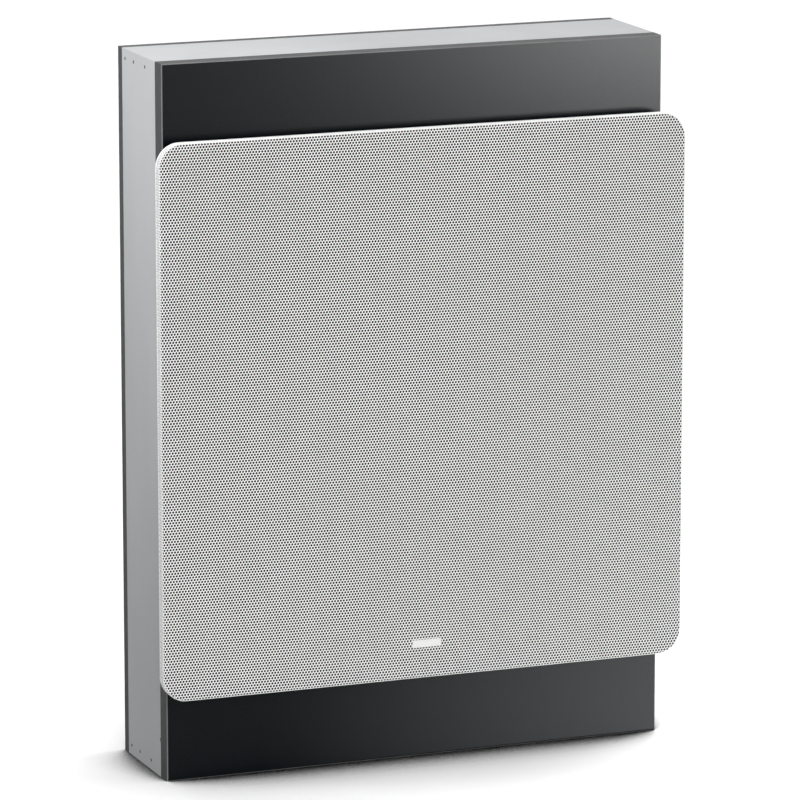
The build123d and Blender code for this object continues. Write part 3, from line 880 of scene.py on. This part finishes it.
def lead_braids():
    """Two stranded lead-out wires in one easy bend, from the terminal strip to the cone."""
    first, bend, last = np.array(LEAD_ROUTE)
    around = np.radians(np.arange(0, 360, 20))
    count = len(around)
    rings = []
    for step in np.linspace(0.0, 1.0, 61):
        place = (1 - step) ** 2 * first + 2 * step * (1 - step) * bend + step**2 * last
        along = (1 - step) * (bend - first) + step * (last - bend)
        along /= np.linalg.norm(along)
        twist = 2 * math.pi * TWISTS / STRANDS * step
        girth = LEAD_RADIUS * (1.0 - LEAD_GROOVE + LEAD_GROOVE * np.cos(STRANDS * (around - twist)))
        across = girth * np.sin(around)
        rings.append(np.stack(
            [girth * np.cos(around), place[0] - across * along[1], place[1] + across * along[0]], axis=1
        ))
    single = np.concatenate(rings)
    sides = ring_quads(count, len(rings))
    ends = np.stack([np.arange(count), np.arange(count) + len(single) - count])
    spacing = np.array((LEAD_SPACING, 0.0, 0.0))
    points = np.concatenate([single - spacing, single + spacing])
    faces = [np.concatenate([sides, sides + len(single)]), np.concatenate([ends, ends + len(single)])]
    mesh = array_mesh("lead_braids", points, faces, [True, False])
    outward_faces(mesh)
    piece = new_piece("lead_braids", mesh, "coil_copper", None)
    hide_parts("tinsel_leads")
    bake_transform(piece)


def wadding_batt():
    """Loose fibre batt: soft edges, a lumpy free side and a flat back against the rear panel."""
    low, high = box_mm("damping_wadding")
    centre = (low + high) / 2
    half = (high - low) / 2
    batt = bmesh.new()
    bmesh.ops.create_cube(batt, size=2.0)
    bmesh.ops.subdivide_edges(batt, edges=batt.edges[:], cuts=BATT_CUTS, use_grid_fill=True)
    for vert in batt.verts:
        spot = np.array(vert.co)
        nearness = np.clip((np.abs(spot) - BATT_EDGE) / (1.0 - BATT_EDGE), 0.0, 1.0)
        shape = spot * half
        broad = noise.noise(Vector(shape / BATT_BROAD))
        fine = noise.noise(Vector(shape / BATT_FINE))
        lump = 0.5 + 0.5 * broad + 0.25 * fine
        free = 0.5 - 0.5 * spot[1]
        pulled = half * BATT_DRAW * (0.6 + 0.4 * lump)
        outermost = np.abs(spot) > 0.999
        shape -= np.sign(spot) * pulled * outermost
        crown = BATT_ROUND * max(nearness[0], nearness[2]) ** 2 + BATT_DENT * np.clip(lump, 0.0, 1.0)
        shape[1] += free * crown
        vert.co = (centre + shape) * MM
    mesh = bpy.data.meshes.new("wadding_batt")
    batt.to_mesh(mesh)
    batt.free()
    mesh.polygons.foreach_set("use_smooth", np.ones(len(mesh.polygons), bool))
    piece = new_piece("wadding_batt", mesh, "wadding")
    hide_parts("damping_wadding")


perforated_sheet()
scrim_cloth()
screw_heads()
pin_heads()
lever_details()
rubber_surround()
lead_braids()
wadding_batt()

# Floor and world: white to the camera and to reflections, with painted shade near the object's foot, and
# plain light for the object
AMBIENT = 0.12
FLOOR_REACH = 16.0
FLOOR_BOUNCE = 0.1
SHADE_SAMPLES = 16
# Painted shade in the floor's colour: reach, start and fall of the contact shade, then reach, lean, start and
# darkest value of the side shade
CONTACT_REACH = 0.07
CONTACT_START = 0.52
CONTACT_FALL = 4.7
SIDE_REACH = 0.16
SIDE_LEAN = (0.93, -0.15, 0.3)
SIDE_START = 0.6
SIDE_DARK = 0.68


def seen_directly(graph):
    """Socket that is 1 for camera, glossy and transmission rays."""
    path = graph.node("ShaderNodeLightPath").outputs
    either = graph.combine("MAXIMUM", path["Is Camera Ray"], path["Is Glossy Ray"])
    return graph.combine("MAXIMUM", either, path["Is Transmission Ray"])


def make_floor():
    """Wide floor with the object's shadow from the lamps, plus a painted contact shade along its foot and a
    painted soft shade on its left, both put into the floor's colour from ambient occlusion.
    """
    material = bpy.data.materials.new("floor")
    material.use_nodes = True
    material.node_tree.nodes.clear()
    graph = Graph(material.node_tree)
    # Painted shade: ambient occlusion darkens the floor's colour along the object's foot, and a second one
    # leaned towards +x darkens it on the object's left
    contact = graph.node("ShaderNodeAmbientOcclusion", samples=SHADE_SAMPLES)
    contact.inputs["Distance"].default_value = CONTACT_REACH
    covered = graph.ramp(contact.outputs["AO"], 1.0, 0.0, CONTACT_START, 1.0)
    painted_contact_shade = graph.combine("SUBTRACT", 1.0, graph.combine("POWER", covered, CONTACT_FALL))
    lean = graph.node("ShaderNodeCombineXYZ")
    for axis, part in zip("XYZ", SIDE_LEAN):
        lean.inputs[axis].default_value = part
    side = graph.node("ShaderNodeAmbientOcclusion", samples=SHADE_SAMPLES)
    side.inputs["Distance"].default_value = SIDE_REACH
    graph.feed(side.inputs["Normal"], lean.outputs[0])
    painted_side_shade = graph.ramp(side.outputs["AO"], SIDE_DARK, 1.0, SIDE_START, 1.0)
    shade = graph.combine("MULTIPLY", painted_contact_shade, painted_side_shade)
    diffuse = graph.node("ShaderNodeBsdfDiffuse")
    graph.feed(diffuse.inputs["Color"], graph.blend(seen_directly(graph), grey(FLOOR_BOUNCE), shade))
    output = graph.node("ShaderNodeOutputMaterial")
    graph.feed(output.inputs["Surface"], diffuse.outputs["BSDF"])
    corners = [(x * FLOOR_REACH, y * FLOOR_REACH, 0.0) for x, y in ((-1, -1), (1, -1), (1, 1), (-1, 1))]
    mesh = bpy.data.meshes.new("floor")
    mesh.from_pydata(corners, [], [(0, 1, 2, 3)])
    mesh.materials.append(material)
    floor = bpy.data.objects.new("floor", mesh)
    scene.collection.objects.link(floor)


make_floor()

world = bpy.data.worlds.new("studio")
scene.world = world
world.use_nodes = True
sky = Graph(world.node_tree)
background = world.node_tree.nodes["Background"]
background.inputs["Color"].default_value = grey(1.0)
sky.feed(background.inputs["Strength"], sky.ramp(seen_directly(sky), AMBIENT, 1.0, 0.0, 1.0))


def lamp(name, kind, place, target, energy, **settings):
    """Lamp at a place, aimed at a target."""
    data = bpy.data.lights.new(name, kind)
    data.energy = energy
    for key, value in settings.items():
        setattr(data, key, value)
    obj = bpy.data.objects.new(name, data)
    scene.collection.objects.link(obj)
    obj.location = place
    obj.rotation_mode = "QUATERNION"
    obj.rotation_quaternion = (Vector(target) - Vector(place)).to_track_quat("-Z", "Y")
    obj.visible_camera = False


def sun(name, azimuth, elevation, strength):
    """Soft sun on the object's foot; azimuth 0 is in front of it and 90 is to its right."""
    a = math.radians(azimuth)
    e = math.radians(elevation)
    place = (math.sin(a) * math.cos(e), -math.cos(a) * math.cos(e), math.sin(e))
    lamp(name, "SUN", place, (0, 0, 0), strength, angle=math.radians(70))


def graded_card(name, place, turn, size, energy, start, steps, ramp, power):
    """Softbox that only gloss sees, brighter to one side, for the sheen on the satin foil.

    The place along the ramp is `start` plus the two `steps` over the card's width and height.
    """
    data = bpy.data.lights.new(name, "AREA")
    data.energy = energy
    data.shape = "RECTANGLE"
    data.size, data.size_y = size
    card = bpy.data.objects.new(name, data)
    scene.collection.objects.link(card)
    card.location = place
    card.rotation_euler = (math.radians(turn), 0.0, 0.0)
    card.visible_camera = False
    card.visible_diffuse = False
    data.use_nodes = True
    graph = Graph(data.node_tree)
    split = graph.node("ShaderNodeSeparateXYZ")
    graph.feed(split.inputs[0], graph.node("ShaderNodeNewGeometry").outputs["Parametric"])
    across = graph.combine("MULTIPLY_ADD", split.outputs["X"], steps[0], start)
    across = graph.combine("MULTIPLY_ADD", split.outputs["Y"], steps[1], across)
    strength = graph.combine("POWER", graph.ramp(across, 0.0, 1.0, *ramp), power)
    graph.feed(data.node_tree.nodes["Emission"].inputs["Strength"], strength)


sun("key", azimuth=-4, elevation=22, strength=4.3)
sun("back", azimuth=165, elevation=45, strength=1.9)
lamp("left_fill", "AREA", (-0.66, 0.0, 0.7), (-0.175, 0.0, 0.35), 3.2, shape="SQUARE", size=0.26)
lamp("right_fill", "AREA", (0.8, 0.15, 0.6), (0.175, 0.0, 0.2), 4.0, shape="SQUARE", size=0.4)
graded_card(
    "low_card",
    place=(0.125, -0.3435, 0.001),
    turn=180,
    size=(0.85, 0.6),
    energy=42.0,
    start=-0.3,
    steps=(0.85, -0.24),
    ramp=(-0.11, 0.45),
    power=1.25,
)
graded_card(
    "high_card",
    place=(0.36, -0.943, 0.402),
    turn=90,
    size=(0.8, 0.19),
    energy=61.3,
    start=-0.04,
    steps=(0.8, 0.039),
    ramp=(0.221, 0.69),
    power=1.88,
)

# Camera at the photograph's angle, from a fit of the box and grille edges; places and distances are in metres
YAW = math.radians(21.46)
PITCH_DOWN = math.radians(12.06)
DISTANCE = 3.796
LENS = 259.2
SENSOR = 36.0
ANCHOR = Vector((0.0, -0.043, 0.24))
MOVE_RIGHT = -0.0101
MOVE_UP = 0.0027
forward = Vector((
    math.sin(YAW) * math.cos(PITCH_DOWN),
    math.cos(YAW) * math.cos(PITCH_DOWN),
    -math.sin(PITCH_DOWN),
))
rightward = Vector((math.cos(YAW), -math.sin(YAW), 0.0))
upward = rightward.cross(forward)
camera_data = bpy.data.cameras.new("camera")
camera_data.sensor_width = SENSOR
camera_data.lens = LENS
camera = bpy.data.objects.new("camera", camera_data)
scene.collection.objects.link(camera)
camera_place = ANCHOR - forward * DISTANCE + rightward * MOVE_RIGHT + upward * MOVE_UP
camera_axes = Matrix((rightward, upward, -forward)).transposed().to_4x4()
camera.matrix_world = Matrix.Translation(camera_place) @ camera_axes
scene.camera = camera
